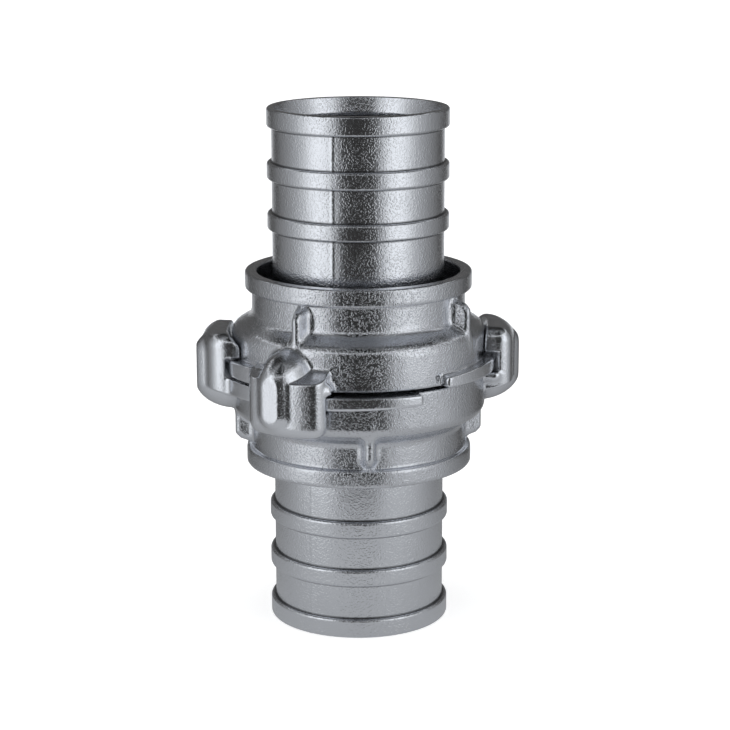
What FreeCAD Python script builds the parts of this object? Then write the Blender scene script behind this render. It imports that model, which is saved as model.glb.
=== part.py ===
import FreeCAD, Part
import math
import os

# A claw hose coupling for a 77 mm fire hose, shown as a mated pair. Millimetres, +Z up.
# The origin is the centre of the lower hose end, on the axis of the waterway.
# Both halves are one casting pattern: each is a ribbed hose tail, a claw ring that turns freely
# on it, a rubber face seal and a wire stop ring. They are drawn as an upper half whose mating
# plane is z = 0, and the lower half is the same half turned over.
# Azimuths are degrees counter-clockwise seen from above, measured from the front (-Y).

# Driving dimensions
HALF_LENGTH = 112.3  # mating plane to hose end
UPPER_CLAW_AZIMUTH = -29.5
LOWER_CLAW_AZIMUTH = -85.0
EDGE = 1.0  # rounding of cast edges
SHARP_EDGE = 0.5  # rounding of machined edges
INSIDE_EDGE = 0.8  # rounding of inner corners
OVERLAP = 2.0  # how far a feature reaches into the body that it is joined to

# Hose tail
BORE_RADIUS = 34.0
WALL_RADIUS = 37.0
RIB_RADIUS = 39.0
LIP_RADIUS = 36.2
LIP_DEPTH = 6.3
LIP_ROUND = 2.0
END_BAND = 8.3
RIBS = ((60.3, 67.5), (81.8, 89.2))  # start and end of each hose rib
FLANGE_RADIUS = 49.0
FLANGE_FACE = 0.7
FLANGE_BACK = 13.7
JOURNAL_RADIUS = 40.0
JOURNAL_END = 28.6

# Face seal, in a groove of the flange
SEAL_INNER = 37.6
SEAL_OUTER = 45.9
SEAL_FACE = 0.15
SEAL_BACK = 6.4
GROOVE_CLEARANCE = 0.1
SEAL_STEP = 1.6  # how far the sealing lip stands over the rest of the seal
SEAL_LIP_WIDTH = 2.4

# Wire stop ring, in a groove of the journal
WIRE_RADIUS = 1.4
WIRE_CENTRE_RADIUS = 40.2
WIRE_HEIGHT = 26.2
WIRE_GAP_ANGLE = 10.0
WIRE_CLEARANCE = 0.15

# Claw ring
RING_FACE = 0.5
BODY_RADIUS = 55.0
CAVITY_RADIUS = 49.5
CAVITY_DEPTH = 14.0
SHOULDER_TOP = 24.0
SHOULDER_BORE = 40.5
COLLAR_RADIUS = 46.2
COLLAR_BORE = 43.9
COLLAR_FILLET = 2.0
COLLAR_FOOT = 23.4  # height where the collar meets the sloping shoulder
SHOULDER_EDGE = 18.1  # height where the shoulder meets the body
SHOULDER_ROUND = 2.2
RIM_RADIUS = 49.0
RIM_START = 34.8
RING_TOP = 42.4

# Ramped ledge that the other half's claws draw in under
LEDGE_RADIUS = 60.0
LEDGE_ARC = 112.0  # from the middle of the claw to the free end
LEDGE_LOW = 5.2  # height at the free end
LEDGE_HIGH = 8.2  # height at the claw

# Claw: a wide hooked plate, with a rounded bar over its middle
PLATE_START = -19.5  # degrees, on the side of the ring's own ledge
PLATE_STOP = 17.0
PLATE_RADIUS = 64.5
PLATE_END = -17.8
PLATE_EDGE = 4.0
PLATE_ROOT = 11.0
BAR_HALF_WIDTH = 11.0
BAR_RADIUS = 70.5
BAR_END = -18.6
BAR_CORNER = 9.0
BAR_SIDE_ROUND = 10.0
BAR_SHOULDER = 9.0  # height where the bar starts to slope in towards its root
BAR_KNEE = (64.3, 15.0)  # where the slope meets the top of the root
KNEE_ROUND = 4.0
BAR_ROOT = 17.4
NOSE_RADIUS = 55.5
NOSE_FACE = -7.9
SLOT_RADIUS = 61.3
SLOT_ROUND = 0.8
BEVEL_START = -13.0
BEVEL_DROP = 3.5  # how far below its start the bevel crosses the nose in the claw's middle
BEVEL_ROUND = 1.5
BEVEL_LEAN = 8.0  # degrees along the nose
BEVEL_SLOPE = 32.0  # degrees across the nose

# Spanner ribs on the collar
RIB_COUNT = 4
RIB_WIDTH = 6.0
RIB_OUTER = 54.2
RIB_SHOULDER = 29.4
RIB_CREST = (52.2, 32.1)
RIB_TOP = 33.3
RIB_ROUND = 1.5
RIB_FOOT = 15.0

UP = FreeCAD.Vector(0, 0, 1)
ORIGIN = FreeCAD.Vector(0, 0, 0)


def point(radius, height):
    return FreeCAD.Vector(radius, 0, height)


def rounded_face(corners):
    """A face in the XZ plane. Each corner is (radius, height) or (radius, height, rounding)."""
    starts = []
    ends = []
    middles = []
    count = len(corners)
    for i, corner in enumerate(corners):
        here = point(corner[0], corner[1])
        rounding = corner[2] if len(corner) > 2 else 0.0
        before = point(*corners[i - 1][:2]) - here
        after = point(*corners[(i + 1) % count][:2]) - here
        if rounding == 0.0:
            starts.append(here)
            ends.append(here)
            middles.append(None)
            continue
        before.normalize()
        after.normalize()
        half_angle = before.getAngle(after) / 2
        reach = rounding / math.tan(half_angle)
        bisector = before + after
        bisector.normalize()
        centre = here + bisector * (rounding / math.sin(half_angle))
        starts.append(here + before * reach)
        ends.append(here + after * reach)
        middles.append(centre - bisector * rounding)
    edges = []
    for i in range(count):
        if middles[i] is not None:
            edges.append(Part.Arc(starts[i], middles[i], ends[i]).toShape())
        line_end = starts[(i + 1) % count]
        if (line_end - ends[i]).Length > 1e-6:
            edges.append(Part.LineSegment(ends[i], line_end).toShape())
    return Part.Face(Part.Wire(edges))


def revolved(corners):
    """A full turn of the profile about the axis."""
    return rounded_face(corners).revolve(ORIGIN, UP, 360)


def sector(corners, azimuth, half_width):
    """The profile swept through an arc that is centred on an azimuth."""
    solid = rounded_face(corners).revolve(ORIGIN, UP, 2 * half_width)
    return turned(solid, azimuth - half_width - 90)


def turned(shape, degrees):
    copy = shape.copy()
    copy.rotate(ORIGIN, UP, degrees)
    return copy


def hose_tail():
    """Ribbed sleeve with the flange that carries the seal."""
    start = HALF_LENGTH - END_BAND
    outline = [
        (BORE_RADIUS, FLANGE_FACE, SHARP_EDGE),
        (FLANGE_RADIUS, FLANGE_FACE, SHARP_EDGE),
        (FLANGE_RADIUS, FLANGE_BACK, SHARP_EDGE),
        (JOURNAL_RADIUS, FLANGE_BACK, SHARP_EDGE),
        (JOURNAL_RADIUS, JOURNAL_END, EDGE),
        (WALL_RADIUS, JOURNAL_END, EDGE),
    ]
    for low, high in RIBS + ((start, HALF_LENGTH),):
        outline += [
            (WALL_RADIUS, low, INSIDE_EDGE),
            (RIB_RADIUS, low, EDGE),
            (RIB_RADIUS, high, EDGE),
        ]
        if high < HALF_LENGTH:
            outline.append((WALL_RADIUS, high, INSIDE_EDGE))
    outline += [
        (LIP_RADIUS, HALF_LENGTH, SHARP_EDGE),
        (BORE_RADIUS, HALF_LENGTH - LIP_DEPTH, LIP_ROUND),
    ]
    tail = revolved(outline)
    groove_inner = SEAL_INNER - GROOVE_CLEARANCE
    groove_outer = SEAL_OUTER + GROOVE_CLEARANCE
    groove_floor = SEAL_BACK + GROOVE_CLEARANCE
    groove = [
        (groove_inner, -OVERLAP),
        (groove_outer, -OVERLAP),
        (groove_outer, groove_floor, SHARP_EDGE),
        (groove_inner, groove_floor, SHARP_EDGE),
    ]
    wire_groove = Part.makeTorus(WIRE_CENTRE_RADIUS, WIRE_RADIUS + WIRE_CLEARANCE)
    wire_groove.translate(UP * WIRE_HEIGHT)
    return tail.cut(revolved(groove)).cut(wire_groove)


def face_seal():
    """Rubber ring with a raised sealing lip on its inner side."""
    lip_outer = SEAL_INNER + SEAL_LIP_WIDTH
    return revolved(
        [
            (SEAL_INNER, SEAL_FACE, SHARP_EDGE),
            (lip_outer, SEAL_FACE, SHARP_EDGE),
            (lip_outer + SEAL_STEP, SEAL_FACE + SEAL_STEP, SHARP_EDGE),
            (SEAL_OUTER, SEAL_FACE + SEAL_STEP, SHARP_EDGE),
            (SEAL_OUTER, SEAL_BACK, SHARP_EDGE),
            (SEAL_INNER, SEAL_BACK, SHARP_EDGE),
        ]
    )


def stop_ring():
    """Spring wire ring with a gap, which keeps the claw ring on the tail."""
    wire = Part.makeTorus(
        WIRE_CENTRE_RADIUS, WIRE_RADIUS, ORIGIN, UP, 0, 360, 360 - WIRE_GAP_ANGLE
    )
    wire.translate(UP * WIRE_HEIGHT)
    return wire


def ring_body():
    """The turned shape of the claw ring."""
    return revolved(
        [
            (CAVITY_RADIUS, RING_FACE, SHARP_EDGE),
            (BODY_RADIUS, RING_FACE, SHARP_EDGE),
            (BODY_RADIUS, SHOULDER_EDGE, SHOULDER_ROUND),
            (COLLAR_RADIUS, COLLAR_FOOT, COLLAR_FILLET),
            (COLLAR_RADIUS, RIM_START, INSIDE_EDGE),
            (RIM_RADIUS, RIM_START, INSIDE_EDGE),
            (RIM_RADIUS, RING_TOP, EDGE),
            (COLLAR_BORE, RING_TOP, EDGE),
            (COLLAR_BORE, SHOULDER_TOP, INSIDE_EDGE),
            (SHOULDER_BORE, SHOULDER_TOP, SHARP_EDGE),
            (SHOULDER_BORE, CAVITY_DEPTH, SHARP_EDGE),
            (CAVITY_RADIUS, CAVITY_DEPTH, INSIDE_EDGE),
        ]
    )


def ledge():
    """Rim sector whose back is a ramp, higher at the claw than at its free end."""
    half = LEDGE_ARC / 2
    root = BODY_RADIUS - OVERLAP
    over = LEDGE_HIGH + OVERLAP
    block = [
        (root, RING_FACE),
        (LEDGE_RADIUS, RING_FACE, SHARP_EDGE),
        (LEDGE_RADIUS, over),
        (root, over),
    ]
    solid = sector(block, 0, half)
    rise = (LEDGE_HIGH - LEDGE_LOW) / 2
    reach = LEDGE_RADIUS * math.sin(math.radians(half))
    size = 4 * LEDGE_RADIUS
    above = Part.makeBox(size, size, size, FreeCAD.Vector(-size / 2, -size / 2, 0))
    above.rotate(ORIGIN, FreeCAD.Vector(0, 1, 0), -math.degrees(math.atan(rise / reach)))
    above.translate(UP * (LEDGE_LOW + LEDGE_HIGH) / 2)
    ramp = solid.cut(above)
    outer = [edge for edge in ramp.Edges if on_outer_ramp(edge)]
    return turned(ramp.makeFillet(EDGE, outer), -half)


def on_outer_ramp(edge):
    """Whether an edge of the ledge runs along the outside of its ramp."""
    ends = [edge.valueAt(edge.FirstParameter), edge.valueAt(edge.LastParameter)]
    return all(
        math.hypot(end.x, end.y) > LEDGE_RADIUS - 0.1 and end.z > LEDGE_LOW / 2 for end in ends
    )


def claw():
    """Hook that reaches over the other half's ledge, in section a letter C."""
    root = BODY_RADIUS - OVERLAP
    hook = [
        (root, RING_FACE),
        (SLOT_RADIUS, RING_FACE, SLOT_ROUND),
        (SLOT_RADIUS, NOSE_FACE, SLOT_ROUND),
        (NOSE_RADIUS, NOSE_FACE, SHARP_EDGE),
    ]
    plate = hook + [
        (NOSE_RADIUS, PLATE_END, EDGE),
        (PLATE_RADIUS, PLATE_END, PLATE_EDGE),
        (PLATE_RADIUS, PLATE_ROOT, PLATE_EDGE),
        (root, PLATE_ROOT),
    ]
    bar = hook + [
        (NOSE_RADIUS, BEVEL_START, BEVEL_ROUND),
        (NOSE_RADIUS + EDGE, BAR_END, EDGE),
        (BAR_RADIUS, BAR_END, BAR_CORNER),
        (BAR_RADIUS, BAR_SHOULDER, BAR_CORNER),
        (*BAR_KNEE, KNEE_ROUND),
        (root, BAR_ROOT),
    ]
    plate_middle = (PLATE_START + PLATE_STOP) / 2
    plate_half = (PLATE_STOP - PLATE_START) / 2
    wings = sector(plate, plate_middle, plate_half)
    middle = sector(bar, plate_middle, plate_half).common(bar_plan())
    return wings.cut(bevel()).fuse(middle)


def bar_plan():
    """Upright prism with the bar's outline as seen from above, its outer corners rounded."""
    inside = BODY_RADIUS - BAR_HALF_WIDTH
    outline = rounded_face(
        [
            (-BAR_HALF_WIDTH, inside),
            (BAR_HALF_WIDTH, inside),
            (BAR_HALF_WIDTH, BAR_RADIUS, BAR_SIDE_ROUND),
            (-BAR_HALF_WIDTH, BAR_RADIUS, BAR_SIDE_ROUND),
        ]
    )
    outline.rotate(ORIGIN, FreeCAD.Vector(1, 0, 0), 90)
    outline.translate(FreeCAD.Vector(0, 0, 2 * BAR_END))
    return outline.extrude(UP * 4 * -BAR_END)


def bevel():
    """Wedge that bevels the inner end of the plate, most on the side over the ring's own ledge."""
    size = BODY_RADIUS
    block = Part.makeBox(size, size, size, FreeCAD.Vector(-size / 2, 0, -size))
    block.rotate(ORIGIN, FreeCAD.Vector(0, 1, 0), BEVEL_LEAN)
    block.rotate(ORIGIN, FreeCAD.Vector(1, 0, 0), BEVEL_SLOPE)
    block.translate(FreeCAD.Vector(0, -NOSE_RADIUS, BEVEL_START - BEVEL_DROP))
    return block


def spanner_rib():
    """Upright rib under the rim that a hook spanner pushes on."""
    root = COLLAR_RADIUS - EDGE
    under_rim = RIM_START + SHARP_EDGE
    profile = rounded_face(
        [
            (root, RIB_FOOT),
            (RIB_OUTER, RIB_FOOT),
            (RIB_OUTER, RIB_SHOULDER, RIB_ROUND),
            (*RIB_CREST, RIB_ROUND),
            (RIM_RADIUS - SHARP_EDGE, RIB_TOP),
            (RIM_RADIUS - SHARP_EDGE, under_rim),
            (root, under_rim),
        ]
    )
    profile.translate(FreeCAD.Vector(0, -RIB_WIDTH / 2, 0))
    return turned(profile.extrude(FreeCAD.Vector(0, RIB_WIDTH, 0)), -90)


def claw_ring():
    """The whole casting, with its claws at azimuths 0 and 180."""
    pieces = [turned(feature, angle) for feature in (ledge(), claw()) for angle in (0, 180)]
    pieces += [turned(spanner_rib(), 360 / RIB_COUNT * k) for k in range(RIB_COUNT)]
    return ring_body().fuse(pieces).removeSplitter()


def place_upper(shape):
    copy = turned(shape, UPPER_CLAW_AZIMUTH)
    copy.translate(UP * HALF_LENGTH)
    return copy


def place_lower(shape):
    """Turned over about the horizontal axis midway between the two halves' claws."""
    flip_azimuth = (UPPER_CLAW_AZIMUTH + LOWER_CLAW_AZIMUTH) / 2
    across = math.radians(flip_azimuth)
    copy = turned(shape, UPPER_CLAW_AZIMUTH)
    copy.rotate(ORIGIN, FreeCAD.Vector(math.sin(across), -math.cos(across), 0), 180)
    copy.translate(UP * HALF_LENGTH)
    return copy


def save(name, shape):
    solids = shape.Solids
    if len(solids) != 1 or not shape.isValid():
        raise ValueError(name + " is not one valid solid")
    solids[0].exportStep("parts/" + name + ".step")
    print(name, round(solids[0].Volume), "mm3")


os.makedirs("parts", exist_ok=True)
for side, place in (("upper", place_upper), ("lower", place_lower)):
    save(side + "_hose_tail", place(hose_tail()))
    save(side + "_face_seal", place(face_seal()))
    save(side + "_stop_ring", place(stop_ring()))
    save(side + "_claw_ring", place(claw_ring()))
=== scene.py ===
import math

import bmesh
import bpy
import numpy as np
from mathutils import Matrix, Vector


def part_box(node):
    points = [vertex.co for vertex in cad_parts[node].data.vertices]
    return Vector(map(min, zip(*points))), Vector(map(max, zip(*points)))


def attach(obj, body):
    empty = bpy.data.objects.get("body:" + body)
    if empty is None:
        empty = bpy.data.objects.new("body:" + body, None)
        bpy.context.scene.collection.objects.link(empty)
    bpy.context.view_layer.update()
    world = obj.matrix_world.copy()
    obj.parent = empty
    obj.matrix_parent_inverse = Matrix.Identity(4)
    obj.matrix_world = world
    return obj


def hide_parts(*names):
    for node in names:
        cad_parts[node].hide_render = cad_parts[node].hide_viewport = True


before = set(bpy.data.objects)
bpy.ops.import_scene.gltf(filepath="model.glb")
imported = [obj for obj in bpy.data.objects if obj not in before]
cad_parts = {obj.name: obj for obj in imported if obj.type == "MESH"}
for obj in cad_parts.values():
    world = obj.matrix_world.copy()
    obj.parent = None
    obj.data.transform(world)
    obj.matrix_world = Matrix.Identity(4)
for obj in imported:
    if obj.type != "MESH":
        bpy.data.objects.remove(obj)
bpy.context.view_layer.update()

MM = 0.001

# Sizes below are millimetres. Heights are measured from the mating plane towards the hose end, so
# that both halves share them, and azimuths are radians from the middle of a claw.
# The ledge of a ring runs from its claw towards negative azimuths.
# ROUND is the radius of an outer edge, and FILLET that of an inner one.

# Hose tail
BORE, BORE_ROUND, WALL, RIB = 34.0, 0.5, 36.95, 39.0
TAIL_END, LIP_RADIUS, LIP_DEPTH, LIP_ROUND, MOUTH_ROUND = 112.3, 36.0, 6.5, 0.6, 2.5
RIB_BANDS, BAND_ROUND, BAND_FILLET = ((60.3, 67.5), (81.8, 89.2), (104.0, 112.3)), 1.1, 0.3
FLANGE, FLANGE_FACE, FLANGE_BACK, FLANGE_ROUND = 49.0, 0.7, 13.7, 0.6
JOURNAL, JOURNAL_END, JOURNAL_ROUND, JOURNAL_FILLET = 40.0, 28.6, 1.0, 0.4
SEAM_HEIGHT, SEAM_HALF, SEAM_RADII = 0.15, 0.6, (WALL - 0.5, RIB - 0.2)
TAIL_STEPS = 540

# Seal and stop ring
SEAL_GROOVE, GROOVE_ROUND, GROOVE_FILLET = (37.5, 46.0, 6.5), 0.3, 0.4
SEAL_FACE, SEAL_PLAY, SEAL_LIP, SEAL_STEP = 0.15, 0.15, 1.6, 0.25
SEAL_ROUND, SEAL_LIP_ROUND, SEAL_STEPS = 0.4, 0.5, 256
WIRE, WIRE_RADIUS, WIRE_HEIGHT, WIRE_GAP = 1.4, 40.2, 26.2, math.radians(10)
WIRE_STEPS, WIRE_SIDES = 240, 16

# Claw ring
RING_FACE, FACE_ROUND, RING_TOP = 0.5, 0.7, 42.4
BODY, COLLAR, COLLAR_TOP, COLLAR_FILLET = 55.0, 46.1, RING_TOP - 3, 2.0
SHOULDER_FOOT, SHOULDER_SLOPE, SHOULDER_ROUND = 23.3, math.radians(31), 2.4
RIM, RIM_START, RIM_ROUND, RIM_FILLET = 49.0, 34.8, 1.0, 0.8
COLLAR_BORE, COLLAR_BORE_ROUND, HOLLOW_ROUND = 43.9, 0.8, 0.7
CAVITY, CAVITY_DEPTH, CAVITY_ROUND = 49.5, 14.0, 0.6
RING_BORE, BORE_TOP = 40.5, 24.0
LEDGE, LEDGE_ARC, LEDGE_LOW, LEDGE_HIGH = 60.0, math.radians(112), 5.2, 8.2
LEDGE_ROUND, LEDGE_FACE_ROUND, LEDGE_END_ROUND, LEDGE_FILLET = 0.9, 0.5, 1.6, 0.6
RIB_COUNT, RIB_OUTER, RIB_CREST, RIB_DRAFT, RIB_ARCH = 4, 54.0, 1.7, 0.15, 0.15
RIB_SECTION = [(42, 14), (52.4, 14), (52.4, 29.0), (50.9, 30.6), (47.6, 31.7), (42, 31.7)]
RIB_EDGE_ROUND, RIB_FLANK_ROUND, RIB_FILLET = 1.6, 1.7, 2.6

# Claw: a wide hooked plate, and on its middle an upright egg with a flat face
PLATE, PLATE_CENTRE = 37.7, 30.0
PLATE_START, PLATE_STOP = math.radians(-19.8), math.radians(17.0)
PLATE_END, PLATE_TOP, PLATE_SLOPE, PLATE_TOP_ROUND = -18.3, 9.6, 0.3, 0.6
START_ROUND, STOP_ROUND, END_ROUND = 10.0, 5.0, 6.0
TOE, TOE_STOP, TOE_TOP = 62.5, math.radians(19.0), 5.4
TOE_SIDE_ROUND, TOE_TOP_ROUND, TOE_FACE_ROUND, TOE_FILLET = 3.0, 2.8, 1.5, 1.2
BAR, EGG_SIDE, EGG_DEPTH, EGG_WIDTH, EGG_REACH = 70.4, -2.2, 53.0, 11.6, 18.3
EGG_ABOVE, EGG_BELOW = (4.0, 13.5), (-7.5, 11.8)
EGG_FACE_ROUND, EGG_END_ROUND, EGG_FILLET, CLAW_FILLET = 0.2, 1.0, 0.7, 1.6
SLOT, SLOT_ROUND, SLOT_EDGE_ROUND = 61.3, 0.6, 0.5
NOSE, NOSE_FACE, NOSE_ROUND = 55.5, -7.9, 0.5
BEVEL_MIDDLE, BEVEL_SLOPE, BEVEL_NORMAL, BEVEL_ROUND = -16.5, 0.2, (0.825, 0.566), 1.0

# A height beyond every shape, for a cut or a core that is open there, and the azimuth past a
# ledge's end where the next claw's share of the ring begins
BEYOND, PAST_LEDGE = 80, math.radians(140)

# Grid of the ring's mesh, finer around the claws
GRID, GRID_RADII, GRID_HEIGHTS = 0.7, (39.3, 71.6), (-21.7, 43.6)
FINE_TURN, COARSE_TURN, FINE_HALF = math.radians(0.6), math.radians(1.0), math.radians(24)


# Shapes as fields: the distance to a surface in millimetres, negative inside

def bar(r, z, inner, outer, low, high, rounding):
    """A ring of rectangular section."""
    across = np.abs(r - (inner + outer) / 2) - (outer - inner) / 2
    along = np.abs(z - (low + high) / 2) - (high - low) / 2
    return common(across, along, rounding)


def polygon(r, z, corners, rounding):
    """A ring whose section has these corners, grown by the rounding."""
    best = np.full(np.broadcast(r, z).shape, np.inf)
    inside = np.zeros(best.shape, bool)
    for (r0, z0), (r1, z1) in zip(corners, corners[1:] + corners[:1]):
        dr, dz = r1 - r0, z1 - z0
        t = np.clip(((r - r0) * dr + (z - z0) * dz) / (dr * dr + dz * dz), 0, 1)
        best = np.minimum(best, np.hypot(r - r0 - t * dr, z - z0 - t * dz))
        if dz != 0:
            crosses = (z0 > z) != (z1 > z)
            inside ^= crosses & (r < r0 + (z - z0) * dr / dz)
    return np.where(inside, -best, best) - rounding


def common(a, b, rounding):
    """What both shapes hold, with its outer edge rounded."""
    a, b = a + rounding, b + rounding
    outside = np.hypot(np.maximum(a, 0), np.maximum(b, 0))
    return outside + np.minimum(np.maximum(a, b), 0) - rounding


def join(a, b, fillet):
    """Both shapes, with a fillet where they meet."""
    return -common(-a, -b, fillet)


def carve(a, b, rounding):
    """The first shape without the second."""
    return common(a, -b, rounding)


# Meshing

def surface_net(field):
    """Points in grid steps and quads of a field's zero surface.

    The axes are azimuth, radius and height, and the first is periodic."""
    n, m, k = field.shape
    cells = (n, m - 1, k - 1)
    total = np.zeros(cells + (3,), np.float32)
    count = np.zeros(cells, np.float32)

    def corner(i, j, l):
        return np.roll(field, -i, 0)[:, j:j + m - 1, l:l + k - 1]

    for axis in range(3):
        others = [a for a in range(3) if a != axis]
        for u in (0, 1):
            for v in (0, 1):
                low = [0, 0, 0]
                low[others[0]], low[others[1]] = u, v
                high = list(low)
                high[axis] = 1
                a, b = corner(*low), corner(*high)
                cut = (a < 0) != (b < 0)
                t = np.where(cut, a / np.where(cut, a - b, 1), 0)
                for c in range(3):
                    total[..., c] += cut * (t if c == axis else low[c])
                count += cut
    active = count > 0
    number = np.full(cells, -1)
    number[active] = np.arange(active.sum())
    base = np.stack(np.nonzero(active), 1)
    points = base + total[active] / count[active][:, None]

    quads = []
    inside = field < 0
    for axis in range(3):
        others = [a for a in range(3) if a != axis]
        after = np.roll(inside, -1, 0) if axis == 0 else np.delete(inside, 0, axis)
        before = inside if axis == 0 else np.delete(inside, -1, axis)
        at = np.stack(np.nonzero(before != after), 1)
        keep = np.ones(len(at), bool)
        for a in others:
            if a:
                keep &= (at[:, a] > 0) & (at[:, a] < field.shape[a] - 1)
        at = at[keep]
        ring = []
        for u, v in ((0, 0), (1, 0), (1, 1), (0, 1)):
            cell = at.copy()
            cell[:, others[0]] -= u
            cell[:, others[1]] -= v
            ring.append(number[cell[:, 0] % n, cell[:, 1], cell[:, 2]])
        quad = np.stack(ring, 1)
        reverse = before[tuple(at.T)] != (axis == 1)
        quad[reverse] = quad[reverse][:, ::-1]
        quads.append(quad)
    return points, np.concatenate(quads)


def place(az, r, z, half):
    """Points of the scene, in metres, from a half's own azimuth, radius and height."""
    turn = half["claw"] + half["up"] * az
    height = half["plane"] + half["up"] * z * MM
    return np.stack([r * MM * np.sin(turn), -r * MM * np.cos(turn), height], 1)


def mesh_object(name, points, faces):
    mesh = bpy.data.meshes.new(name)
    mesh.from_pydata(points.tolist(), [], faces.tolist())
    mesh.validate()
    mesh.shade_smooth()
    thing = bpy.data.objects.new(name, mesh)
    bpy.context.scene.collection.objects.link(thing)
    return thing


def cast(name, field, half, azimuths, radii, heights):
    """A casting from its field, meshed on the grid and then drawn onto the exact surface."""
    step, furthest, least_slope = 0.02, 0.3, 0.5
    grid = field(azimuths[:, None, None], radii[None, :, None], heights[None, None, :])
    points, quads = surface_net(np.ascontiguousarray(grid, np.float32))
    around = np.append(azimuths, azimuths[0] + 2 * math.pi)
    az = np.interp(points[:, 0], np.arange(len(around)), around)
    r = np.interp(points[:, 1], np.arange(len(radii)), radii)
    z = np.interp(points[:, 2], np.arange(len(heights)), heights)
    for _ in range(3):
        here = field(az, r, z)
        slope_az = (field(az + step / r, r, z) - here) / step
        slope_r = (field(az, r + step, z) - here) / step
        slope_z = (field(az, r, z + step) - here) / step
        size = np.maximum(slope_az ** 2 + slope_r ** 2 + slope_z ** 2, least_slope ** 2)
        move = np.clip(here / size, -furthest, furthest)
        az = az - move * slope_az / r
        r = r - move * slope_r
        z = z - move * slope_z
    return mesh_object(name, place(az, r, z, half), quads)


# Claw ring

def ring_turned(r, z):
    """Collar with its rim, and the body with a sloping shoulder."""
    roof = math.sin(SHOULDER_SLOPE) * (r - COLLAR) + math.cos(SHOULDER_SLOPE) * (z - SHOULDER_FOOT)
    body = common(r - BODY, roof, SHOULDER_ROUND)
    collar = bar(r, z, 0, COLLAR, -BEYOND, COLLAR_TOP, RIM_ROUND)
    rim = bar(r, z, 0, RIM, RIM_START, RING_TOP, RIM_ROUND)
    outside = join(join(body, collar, COLLAR_FILLET), rim, RIM_FILLET)
    return common(outside, RING_FACE - z, FACE_ROUND)


def ring_hollow(r, z):
    """Room for the tail's flange, its journal and the end of the hose."""
    cavity = bar(r, z, 0, CAVITY, -BEYOND, CAVITY_DEPTH, CAVITY_ROUND)
    collar = bar(r, z, 0, COLLAR_BORE, BORE_TOP, BEYOND, COLLAR_BORE_ROUND)
    return np.minimum(np.minimum(cavity, collar), r - RING_BORE)


def ledge(az, r, z):
    """Rim sector whose back is a ramp, higher at the claw than at its free end."""
    share = np.clip(az / LEDGE_ARC + 1, 0, 1)
    top = LEDGE_LOW + (LEDGE_HIGH - LEDGE_LOW) * share
    block = common(r - LEDGE, z - top, LEDGE_ROUND)
    block = common(block, RING_FACE - z, LEDGE_FACE_ROUND)
    block = common(block, -(az + LEDGE_ARC) * r, LEDGE_END_ROUND)
    return np.maximum(block, az * r)


def claw(az, r, z):
    """The claw before its slot is cut."""
    x, y = r * np.sin(az), r * np.cos(az)

    outer = np.hypot(x, y - PLATE_CENTRE) - PLATE
    sides = common(outer, (PLATE_START - az) * r, START_ROUND)
    sides = common(sides, (az - PLATE_STOP) * r, STOP_ROUND)
    plate = common(sides, PLATE_END - z, END_ROUND)
    plate = common(plate, z + PLATE_SLOPE * (r - BODY) - PLATE_TOP, PLATE_TOP_ROUND)

    toe = common(r - TOE, (az - TOE_STOP) * r, TOE_SIDE_ROUND)
    toe = common(np.maximum(toe, -az * r), z - TOE_TOP, TOE_TOP_ROUND)
    toe = common(toe, RING_FACE - z, TOE_FACE_ROUND)

    above = np.maximum(z - EGG_ABOVE[0], 0) / EGG_ABOVE[1]
    below = np.maximum(EGG_BELOW[0] - z, 0) / EGG_BELOW[1]
    beside, out = (x - EGG_SIDE) / EGG_WIDTH, (y - EGG_DEPTH) / EGG_REACH
    egg = (np.sqrt(beside ** 2 + out ** 2 + above ** 2 + below ** 2) - 1) * EGG_WIDTH
    egg = common(egg, y - BAR, EGG_FACE_ROUND)
    egg = common(egg, PLATE_END - z, EGG_END_ROUND)

    whole = join(join(plate, toe, TOE_FILLET), egg, EGG_FILLET)
    start = BEVEL_MIDDLE - BEVEL_SLOPE * x
    bevel = -BEVEL_NORMAL[0] * (r - NOSE) - BEVEL_NORMAL[1] * (z - start)
    return common(whole, bevel, BEVEL_ROUND)


def spanner_rib(az, r, z):
    """Upright rib under the rim, on the azimuth 0. Its flanks lean in towards its crest."""
    across = np.abs(r * np.sin(az))
    section = polygon(r, z + RIB_ARCH * across ** 2, RIB_SECTION, RIB_EDGE_ROUND)
    flank = across - RIB_CREST - RIB_DRAFT * (RIB_OUTER - r)
    return common(section, flank, RIB_FLANK_ROUND)


def claw_ring_field(az, r, z):
    """The whole ring. Its ribs repeat four times, and its claw and ledge twice."""
    step = 2 * math.pi / RIB_COUNT
    rib_az = (az + step / 2) % step - step / 2
    half_az = (az + PAST_LEDGE) % math.pi - PAST_LEDGE
    shape = join(ring_turned(r, z), spanner_rib(rib_az, r, z), RIB_FILLET)
    shape = join(shape, ledge(half_az, r, z), LEDGE_FILLET)
    shape = join(shape, claw(half_az, r, z), CLAW_FILLET)
    shape = carve(shape, ring_hollow(r, z), HOLLOW_ROUND)
    slot = bar(r, z, 0, SLOT, NOSE_FACE, RING_FACE, SLOT_ROUND)
    under = bar(r, z, 0, NOSE, -BEYOND, RING_FACE, NOSE_ROUND)
    return carve(shape, np.minimum(slot, under), SLOT_EDGE_ROUND)


def claw_ring(half):
    edges = [0.0]
    while edges[-1] < 2 * math.pi:
        from_claw = abs((edges[-1] + math.pi / 2) % math.pi - math.pi / 2)
        edges.append(edges[-1] + (FINE_TURN if from_claw < FINE_HALF else COARSE_TURN))
    azimuths = np.array(edges[:-1]) * 2 * math.pi / edges[-1]
    radii, heights = np.arange(*GRID_RADII, GRID), np.arange(*GRID_HEIGHTS, GRID)
    return cast(half["name"] + "_ring", claw_ring_field, half, azimuths, radii, heights)


# Turned pieces

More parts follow.
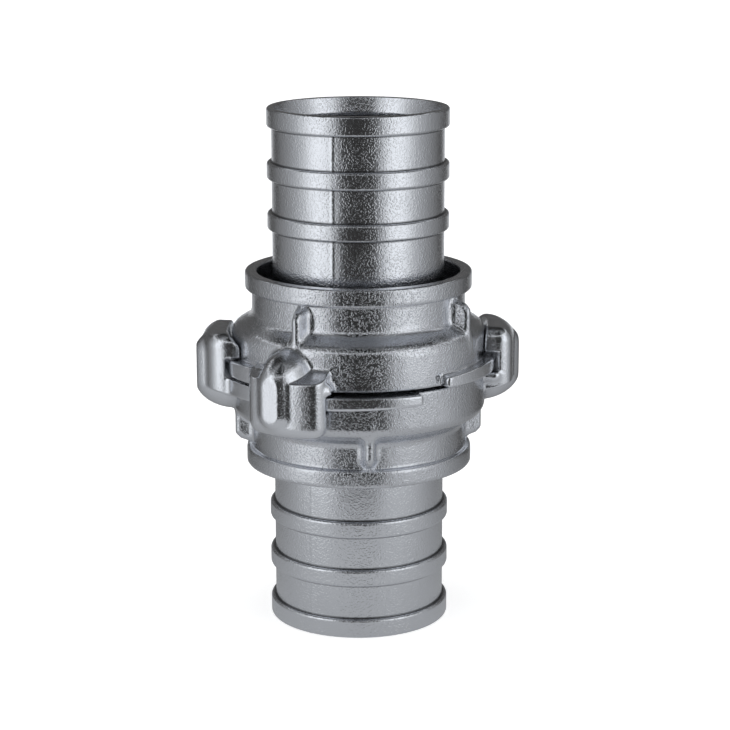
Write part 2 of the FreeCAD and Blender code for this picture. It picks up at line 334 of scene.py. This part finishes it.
def rounded(corners, rounding_steps=5):
    """Points of a closed outline. A corner is (radius, height, rounding)."""
    points = []
    for i, (r, z, rounding) in enumerate(corners):
        here = np.array((r, z), float)
        before = np.array(corners[i - 1][:2]) - here
        after = np.array(corners[(i + 1) % len(corners)][:2]) - here
        before /= np.linalg.norm(before)
        after /= np.linalg.norm(after)
        half_angle = math.acos(np.clip(before @ after, -1, 1)) / 2
        middle = (before + after) / np.linalg.norm(before + after)
        centre = here + middle * rounding / math.sin(half_angle)
        start = here + before * rounding / math.tan(half_angle) - centre
        end = here + after * rounding / math.tan(half_angle) - centre
        for k in range(rounding_steps + 1):
            t = k / rounding_steps
            spoke = start * (1 - t) + end * t
            points.append(centre + spoke / np.linalg.norm(spoke) * rounding)
    return points


def filled(points, longest=2.5, shortest=0.9, from_end=0.3):
    """The outline with points added on its long stretches, close to their ends too."""
    result = []
    for a, b in zip(points, points[1:] + points[:1]):
        length = np.linalg.norm(b - a)
        result.append(a)
        if length < shortest:
            continue
        guard = from_end / length
        inner = max(1, math.ceil(length / longest))
        stops = [guard] + [k / inner for k in range(1, inner)] + [1 - guard]
        result += [a + (b - a) * t for t in stops]
    return result


def lathe(name, outline, half, steps, seam=None):
    """A solid of revolution from a closed outline. A seam is the azimuth of the parting line."""
    outline = np.array(outline)
    count = len(outline)
    az = np.repeat(np.arange(steps) * 2 * math.pi / steps, count)
    r = np.tile(outline[:, 0], steps)
    z = np.tile(outline[:, 1], steps)
    if seam is not None:
        from_seam = np.abs((az - seam + math.pi / 2) % math.pi - math.pi / 2) * r
        outer = (r > SEAM_RADII[0]) & (r < SEAM_RADII[1]) & (z > RING_TOP)
        r = r + SEAM_HEIGHT * np.exp(-(from_seam / SEAM_HALF) ** 2) * outer
    i, j = np.meshgrid(np.arange(steps), np.arange(count), indexing="ij")
    i, j = i.ravel(), j.ravel()
    i2, j2 = (i + 1) % steps, (j + 1) % count
    faces = np.stack([i * count + j, i2 * count + j, i2 * count + j2, i * count + j2], 1)
    return mesh_object(name, place(az, r, z, half), faces)


def hose_tail(half):
    inner, outer, back = SEAL_GROOVE
    corners = [
        (BORE, FLANGE_FACE, BORE_ROUND),
        (inner, FLANGE_FACE, GROOVE_ROUND),
        (inner, back, GROOVE_FILLET),
        (outer, back, GROOVE_FILLET),
        (outer, FLANGE_FACE, GROOVE_ROUND),
        (FLANGE, FLANGE_FACE, FLANGE_ROUND),
        (FLANGE, FLANGE_BACK, FLANGE_ROUND),
        (JOURNAL, FLANGE_BACK, JOURNAL_FILLET),
        (JOURNAL, JOURNAL_END, JOURNAL_ROUND),
        (WALL, JOURNAL_END, JOURNAL_ROUND),
    ]
    for low, high in RIB_BANDS:
        corners += [(WALL, low, BAND_FILLET), (RIB, low, BAND_ROUND), (RIB, high, BAND_ROUND)]
        if high < TAIL_END:
            corners.append((WALL, high, BAND_FILLET))
    corners += [(LIP_RADIUS, TAIL_END, LIP_ROUND), (BORE, TAIL_END - LIP_DEPTH, MOUTH_ROUND)]
    seam = half["up"] * (half["seam"] - half["claw"])
    return lathe(half["name"] + "_tail", filled(rounded(corners)), half, TAIL_STEPS, seam)


def face_seal(half):
    """Rubber ring with a bevelled face, a little clear of its groove."""
    inner, outer, back = SEAL_GROOVE
    corners = [
        (inner + SEAL_PLAY, SEAL_FACE + SEAL_STEP, SEAL_LIP_ROUND),
        (inner + SEAL_PLAY, back - SEAL_PLAY, SEAL_ROUND),
        (outer - SEAL_PLAY, back - SEAL_PLAY, SEAL_ROUND),
        (outer - SEAL_PLAY, SEAL_FACE + SEAL_STEP, SEAL_LIP_ROUND),
        (outer - SEAL_LIP, SEAL_FACE, SEAL_ROUND),
        (inner + SEAL_LIP, SEAL_FACE, SEAL_ROUND),
    ]
    return lathe(half["name"] + "_seal", filled(rounded(corners)), half, SEAL_STEPS)


def stop_ring(half):
    """Round wire bent to an open ring."""
    around, section = WIRE_STEPS, WIRE_SIDES
    az = np.repeat(np.linspace(WIRE_GAP / 2, 2 * math.pi - WIRE_GAP / 2, around), section)
    turn = np.tile(np.arange(section) * 2 * math.pi / section, around)
    r, z = WIRE_RADIUS + WIRE * np.cos(turn), WIRE_HEIGHT + WIRE * np.sin(turn)
    i, j = np.meshgrid(np.arange(around - 1) * section, np.arange(section), indexing="ij")
    i, j = i.ravel(), j.ravel()
    i2, j2 = i + section, (j + 1) % section
    sides = np.stack([i + j, i + j2, i2 + j2, i2 + j], 1).tolist()
    first = list(range(section))[::-1]
    last = [(around - 1) * section + k for k in range(section)]
    faces = np.array(sides + [first, last], dtype=object)
    return mesh_object(half["name"] + "_wire", place(az, r, z, half), faces)


# Where each half lies

def claw_azimuth(node):
    """Azimuth of one of a ring's two claws, from the points of the CAD part far from the axis."""
    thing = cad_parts[node]
    points = np.array([v.co[:] for v in thing.data.vertices]) / MM
    far = points[np.hypot(points[:, 0], points[:, 1]) > BAR - 0.5]
    doubled = 2 * np.arctan2(far[:, 0], -far[:, 1])
    return math.atan2(np.sin(doubled).mean(), np.cos(doubled).mean()) / 2


MATING_PLANE = (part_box("upper_hose_tail")[0][2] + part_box("lower_hose_tail")[1][2]) / 2
HALVES = [
    {"name": "upper", "up": 1, "plane": MATING_PLANE, "claw": claw_azimuth("upper_claw_ring"),
     "seam": math.radians(-17)},
    {"name": "lower", "up": -1, "plane": MATING_PLANE, "claw": claw_azimuth("lower_claw_ring"),
     "seam": math.radians(-33)},
]


# Materials

class Nodes:
    """Short calls for building the nodes of a material or a world."""

    def __init__(self, owner):
        owner.use_nodes = True
        self.owner, self.tree = owner, owner.node_tree
        coordinates = self.add("ShaderNodeTexCoord")
        self.position, self.direction = coordinates.outputs["Object"], coordinates.outputs["Generated"]

    def set_socket(self, socket, value):
        if isinstance(value, bpy.types.NodeSocket):
            self.tree.links.new(value, socket)
        else:
            socket.default_value = value

    def add(self, kind, sockets=None, **values):
        node = self.tree.nodes.new(kind)
        for key, value in values.items():
            setattr(node, key, value)
        for key, value in (sockets or {}).items():
            self.set_socket(node.inputs[key], value)
        return node

    def noise(self, scale, detail=2.0, roughness=0.5):
        sockets = {"Vector": self.position, "Scale": scale, "Detail": detail, "Roughness": roughness}
        return self.add("ShaderNodeTexNoise", sockets).outputs["Fac"]

    def mapped(self, value, low, high, out_low, out_high):
        sockets = {"Value": value, "From Min": low, "From Max": high,
                   "To Min": out_low, "To Max": out_high}
        return self.add("ShaderNodeMapRange", sockets).outputs["Result"]

    def maths(self, operation, a, b=0.0):
        return self.add("ShaderNodeMath", {0: a, 1: b}, operation=operation).outputs[0]

    def length(self, vector):
        return self.add("ShaderNodeVectorMath", {0: vector}, operation="LENGTH").outputs["Value"]

    def blended(self, factor, a, b):
        """Two colours mixed. The node's colour inputs are 6 and 7, and its colour output is 2."""
        return self.add("ShaderNodeMix", {"Factor": factor, 6: a, 7: b}, data_type="RGBA").outputs[2]

    def bump(self, height, strength, distance, normal=None):
        sockets = {"Height": height, "Strength": strength, "Distance": distance}
        if normal is not None:
            sockets["Normal"] = normal
        return self.add("ShaderNodeBump", sockets).outputs["Normal"]

    def shade(self, **sockets):
        shader = self.tree.nodes["Principled BSDF"]
        for name, value in sockets.items():
            self.set_socket(shader.inputs[name.replace("_", " ")], value)
        return self.owner


# Metal: colour, and where handling has worn the blank surface smoother, by distance from the axis
METAL_TINT, METAL_ROUGHNESS = (0.965, 0.987, 1.035), 0.19
# The last of these bases is the darker colour of painted shade
TAIL_BASE, RING_BASE, WORN_BASE, PAINTED_SHADE_BASE = 0.82, 0.75, 0.84, 0.22
TAIL_PITS, RING_PITS, WORN_SHARE = 0.055, 0.08, 0.4
WORN_FROM, WORN_BLEND = 56.5, 3.0

# Painted shade, a darker base colour, lies in the space between tail and ring, where the ring shades
# it, and along the lines where the tail's bands meet its wall
PAINTED_SHADE_DEPTH, PAINTED_SHADE_BLEND, TAIL_PAINTED_SHADE_RADIUS, RING_PAINTED_SHADE_RADIUS = 6.0, 0.6, 37.5, 44.2
CREASES = [height for band in RIB_BANDS for height in band if height < TAIL_END]
CREASE_RADII, CREASE_HALF = (WALL + 0.4, WALL + 1.2), (0.3, 0.9)


def metal_colour(level):
    return tuple(level * tint for tint in METAL_TINT) + (1,)


def cast_aluminium(name, base, pit_depth, shade_inside_radius, creases=()):
    """Blank cast metal, pitted and slightly wavy, and worn smoother on the claws.

    It has painted shade, a darker base colour, nearer to the axis than the given inside radius, below
    the rim's top, and at the creases."""
    nodes = Nodes(bpy.data.materials.new(name))
    height = nodes.add("ShaderNodeSeparateXYZ", {0: nodes.position}).outputs["Z"]
    level = nodes.maths("ABSOLUTE", nodes.maths("SUBTRACT", height, MATING_PLANE))
    flat = nodes.add("ShaderNodeVectorMath", {0: nodes.position, 1: (1, 1, 0)}, operation="MULTIPLY")
    radius = nodes.length(flat.outputs[0])
    worn = nodes.mapped(radius, WORN_FROM * MM, (WORN_FROM + WORN_BLEND) * MM, 0, 1)

    pits = nodes.mapped(nodes.noise(scale=1250.0, detail=1.0), 0.5, 0.64, 0, 1)
    patches = nodes.mapped(nodes.noise(scale=60.0, detail=1.0), 0.35, 0.6, 0.5, 1)
    swell = nodes.noise(scale=260.0, detail=1.0)
    handled = nodes.mapped(worn, 0, 1, 1, WORN_SHARE)
    relief = nodes.maths("MULTIPLY", nodes.maths("MULTIPLY", pits, patches), handled)
    waves = nodes.bump(swell, 1.0, pit_depth * MM)
    normal = nodes.bump(relief, 1.0, pit_depth * MM, waves)

    # Painted shade: a darker base colour deep inside the ring near the axis, and along the tail's
    # creases
    deep = nodes.mapped(level, (RING_TOP - PAINTED_SHADE_DEPTH) * MM, RING_TOP * MM, 1, 0)
    inside = nodes.mapped(radius, shade_inside_radius * MM, (shade_inside_radius + PAINTED_SHADE_BLEND) * MM, 1, 0)
    painted_shade = nodes.maths("MULTIPLY", deep, inside)
    at_wall = nodes.mapped(radius, CREASE_RADII[0] * MM, CREASE_RADII[1] * MM, 1, 0)
    for crease in creases:
        away = nodes.maths("ABSOLUTE", nodes.maths("SUBTRACT", level, crease * MM))
        near = nodes.mapped(away, CREASE_HALF[0] * MM, CREASE_HALF[1] * MM, 1, 0)
        painted_shade = nodes.maths("MAXIMUM", painted_shade, nodes.maths("MULTIPLY", near, at_wall))
    clean = nodes.blended(worn, metal_colour(base), metal_colour(WORN_BASE))
    return nodes.shade(
        Base_Color=nodes.blended(painted_shade, clean, metal_colour(PAINTED_SHADE_BASE)),
        Metallic=1.0,
        Roughness=METAL_ROUGHNESS,
        Normal=normal,
    )


def rubber():
    nodes = Nodes(bpy.data.materials.new("rubber"))
    normal = nodes.bump(nodes.noise(900.0, 3.0, 0.6), 0.3, 0.3 * MM)
    return nodes.shade(Base_Color=(0.02, 0.02, 0.021, 1), Roughness=0.6, Normal=normal)


def drawn_wire():
    nodes = Nodes(bpy.data.materials.new("drawn_wire"))
    normal = nodes.bump(nodes.noise(1500.0, 2.0, 0.5), 0.2, 0.1 * MM)
    return nodes.shade(Base_Color=(0.55, 0.55, 0.56, 1), Metallic=1.0, Roughness=0.3, Normal=normal)


# Assembly

tail_finish = cast_aluminium("cast_tail", TAIL_BASE, TAIL_PITS, TAIL_PAINTED_SHADE_RADIUS, CREASES)
ring_finish = cast_aluminium("cast_ring", RING_BASE, RING_PITS, RING_PAINTED_SHADE_RADIUS)
rubber_finish = rubber()
wire_finish = drawn_wire()

for half in HALVES:
    tail_body, ring_body = half["name"] + "_tail", half["name"] + "_ring"
    pieces = [
        (hose_tail(half), tail_body, "hose_tail", "tail_casting", tail_finish),
        (face_seal(half), tail_body, "face_seal", "seal_rubber", rubber_finish),
        (stop_ring(half), tail_body, "stop_ring", "spring_wire", wire_finish),
        (claw_ring(half), ring_body, "claw_ring", "ring_casting", ring_finish),
    ]
    for piece, body, node, slot, finish in pieces:
        piece.data.materials.append(finish)
        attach(piece, body)
        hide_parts(half["name"] + "_" + node)


# Studio, in metres

# Brightness of the room that the metal mirrors, by angle in degrees from the camera's side
ROOM = ((0, 0.03), (22, 0.04), (30, 0.45), (42, 1.0), (58, 1.1), (80, 0.48), (100, 0.29),
        (124, 0.18), (140, 0.06), (150, 0.16), (162, 0.6), (180, 0.95))
# Above the table, the room is dark from DARK_BEHIND on. Between two elevations it's bright over the
# camera too, and above the softboxes only a share of the light is left.
DARK_BEHIND, HIGH_BEHIND, OVER_CAMERA, HIGH_SHARE = 145, 0.1, 0.75, 0.25
OVER_START, SOFTBOX_TOP = math.sin(math.radians(32)), math.sin(math.radians(44))
HORIZON_BLEND, OVER_BLEND, TOP_BLEND = 0.03, 0.05, 0.08
# Darks are slightly warm, and lights slightly cool
COOLNESS, COOLNESS_RISE, COOL_LEVEL = -0.03, 0.05, 0.3

TABLE_GLOW, TABLE_GLOW_BEHIND, TABLE_LIMIT, TABLE_LIMIT_LEFT = 0.46, 0.27, 0.55, 0.9
TABLE_NEAR, TABLE_BLEND, TABLE_SIDE_BLEND = 0.245, 0.05, 0.1
TABLE_INNER, TABLE_OUTER, TABLE_DROP = 0.51, 0.69, 0.0005
FLOOR_HALF, FLOOR_GLOW, FLOOR_WHITES = 40, 0.62, (0.9, 0.93)
BACKDROP_RADIUS, BACKDROP_GLOW = 39, 1.05
SUN_ANGLE, SUN_ENERGY = math.radians(60), 1.4


def grey(level):
    return (level, level, level, 1)


def flat_object(name, points, height=0):
    mesh = bpy.data.meshes.new(name)
    mesh.from_pydata(points, [], [tuple(range(len(points)))])
    thing = bpy.data.objects.new(name, mesh)
    thing.location = (0, 0, height)
    bpy.context.scene.collection.objects.link(thing)
    return thing


def tinted(level):
    cool = min(1, level / COOL_LEVEL) * COOLNESS_RISE + COOLNESS
    return (level * (1 - cool), level, level * (1 + cool), 1)


def around(nodes, x, y, stops):
    """Brightness by the angle from the camera's side."""
    towards = nodes.maths("MULTIPLY", y, -1.0)
    share = nodes.maths("ABSOLUTE", nodes.maths("DIVIDE", nodes.maths("ARCTAN2", x, towards), math.pi))
    ramp = nodes.add("ShaderNodeValToRGB", {"Fac": share})
    elements = ramp.color_ramp.elements
    while len(elements) < len(stops):
        elements.new(0.5)
    for element, (degrees, level) in zip(elements, stops):
        element.position = degrees / 180
        element.color = tinted(level)
    return ramp.outputs["Color"]


def white_floor():
    """The floor that the camera sees. The metal mirrors the table top instead."""
    corners = ((-1, -1), (1, -1), (1, 1), (-1, 1))
    floor = flat_object("floor", [(x * FLOOR_HALF, y * FLOOR_HALF, 0) for x, y in corners])
    floor.visible_glossy = False
    nodes = Nodes(bpy.data.materials.new("floor_white"))
    paper = nodes.blended(nodes.noise(3.0), *(grey(level) for level in FLOOR_WHITES))
    floor.data.materials.append(nodes.shade(
        Base_Color=paper, Roughness=0.6, Emission_Color=grey(1), Emission_Strength=FLOOR_GLOW))


def table_top():
    """The table near the object, which only the metal mirrors."""
    turns = [k * math.pi / 32 for k in range(64)]
    circle = [(TABLE_OUTER * math.cos(turn), TABLE_OUTER * math.sin(turn), 0) for turn in turns]
    table = flat_object("table_glow", circle, -TABLE_DROP)
    table.visible_camera = table.visible_shadow = table.visible_diffuse = False
    nodes = Nodes(bpy.data.materials.new("table_glow"))
    split = nodes.add("ShaderNodeSeparateXYZ", {0: nodes.position})
    x, y = split.outputs["X"], split.outputs["Y"]
    distance = nodes.length(nodes.position)
    right, left = (around(nodes, x, y, [(degrees, min(level, limit)) for degrees, level in ROOM])
                   for limit in (TABLE_LIMIT, TABLE_LIMIT_LEFT))
    far = nodes.blended(nodes.mapped(x, -TABLE_SIDE_BLEND, 0, 0, 1), left, right)
    behind = nodes.mapped(y, -TABLE_SIDE_BLEND, TABLE_SIDE_BLEND, 0, 1)
    near = nodes.blended(behind, tinted(TABLE_GLOW), tinted(TABLE_GLOW_BEHIND))
    glow = nodes.blended(nodes.mapped(distance, TABLE_NEAR, TABLE_NEAR + TABLE_BLEND, 0, 1), near, far)
    table.data.materials.append(nodes.shade(
        Base_Color=grey(0), Specular_IOR_Level=0.0, Emission_Color=glow, Emission_Strength=1.0,
        Alpha=nodes.mapped(distance, TABLE_INNER, TABLE_OUTER, 1, 0)))


def backdrop():
    """White surroundings that only the camera sees."""
    mesh = bpy.data.meshes.new("backdrop")
    shell = bmesh.new()
    bmesh.ops.create_uvsphere(shell, u_segments=48, v_segments=24, radius=BACKDROP_RADIUS)
    shell.to_mesh(mesh)
    shell.free()
    dome = bpy.data.objects.new("backdrop", mesh)
    bpy.context.scene.collection.objects.link(dome)
    dome.visible_glossy = dome.visible_diffuse = dome.visible_shadow = False
    nodes = Nodes(bpy.data.materials.new("backdrop_white"))
    dome.data.materials.append(nodes.shade(
        Base_Color=grey(0), Roughness=1.0, Specular_IOR_Level=0.0, Emission_Color=grey(1),
        Emission_Strength=BACKDROP_GLOW))


def overhead_light():
    """Lights the floor. The metal doesn't mirror it."""
    data = bpy.data.lights.new("overhead", "SUN")
    data.angle = SUN_ANGLE
    data.energy = SUN_ENERGY
    light = bpy.data.objects.new("overhead", data)
    light.location = (0, 0, 2.2)
    light.visible_glossy = False
    bpy.context.scene.collection.objects.link(light)


def room():
    """Softboxes either side of the camera, dark between, above and behind them."""
    nodes = Nodes(bpy.data.worlds.new("studio"))
    split = nodes.add("ShaderNodeSeparateXYZ", {0: nodes.direction})
    x, y, height = split.outputs["X"], split.outputs["Y"], split.outputs["Z"]
    front = [(degrees, level) for degrees, level in ROOM if degrees < DARK_BEHIND]
    back = [(degrees, HIGH_BEHIND) for degrees, level in ROOM if degrees >= DARK_BEHIND]
    high = around(nodes, x, y, front + back)
    over = around(nodes, x, y, [(degrees, max(level, OVER_CAMERA)) for degrees, level in front] + back)
    level = around(nodes, x, y, ROOM)
    for start, end, colour in (
        (-HORIZON_BLEND, HORIZON_BLEND, high),
        (OVER_START, OVER_START + OVER_BLEND, over),
        (SOFTBOX_TOP - OVER_BLEND, SOFTBOX_TOP, high),
    ):
        level = nodes.blended(nodes.mapped(height, start, end, 0, 1), level, colour)
    fade = nodes.mapped(height, SOFTBOX_TOP - OVER_BLEND, SOFTBOX_TOP + TOP_BLEND, 1, HIGH_SHARE)
    background = nodes.tree.nodes["Background"]
    nodes.set_socket(background.inputs["Color"], level)
    nodes.set_socket(background.inputs["Strength"], fade)
    bpy.context.scene.world = nodes.owner


white_floor()
table_top()
backdrop()
overhead_light()
room()

camera = bpy.data.objects.new("camera", bpy.data.cameras.new("camera"))
camera.location = (0, -0.9034, 0.3283)
camera.rotation_euler = (math.radians(76.52), 0, 0)
camera.rotation_euler.rotate_axis("Z", -0.0023)
camera.data.lens = 105.09
camera.data.sensor_width = 36
camera.data.shift_x = 0.0088
bpy.context.scene.collection.objects.link(camera)
bpy.context.scene.camera = camera

bpy.context.scene.view_settings.view_transform = "Standard"
